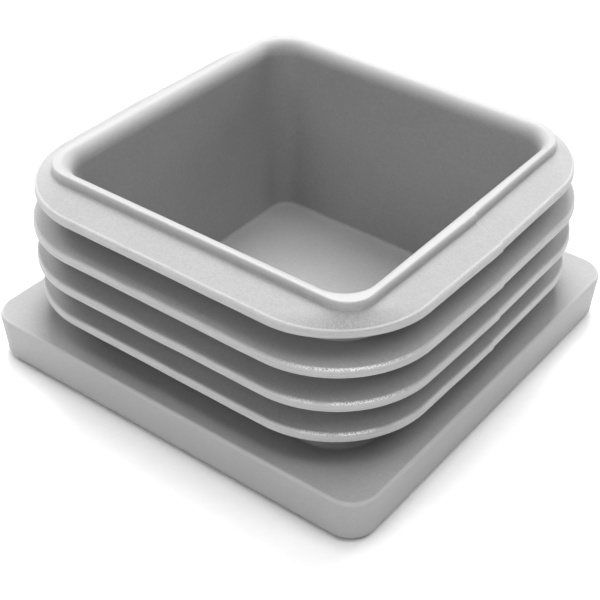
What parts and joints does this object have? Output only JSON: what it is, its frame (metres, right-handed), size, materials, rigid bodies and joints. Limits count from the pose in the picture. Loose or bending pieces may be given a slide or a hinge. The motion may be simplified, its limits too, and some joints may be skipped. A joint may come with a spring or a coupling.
{
  "type": "tube end cap",
  "caption": "Push-in end cap for a square tube: a square head with an open cup behind it, ringed by flexible rectangular lamellae that grip the tube's inner faces.",
  "frame": {"origin": "centre of the head's flat outer face, which is the bottom of the part", "axes": "+Z along the insertion direction, from the head towards the cup's open mouth; Y is the direction in which the mould halves part, and X and Y run along the head's sides"},
  "size_m": [0.05, 0.05, 0.0236],
  "materials": {
    "moulded_plastic": "fine matt moulded polyethylene, light grey"
  },
  "bodies": {
    "root": {"end_cap": "moulded_plastic"}
  },
  "joints": []
}
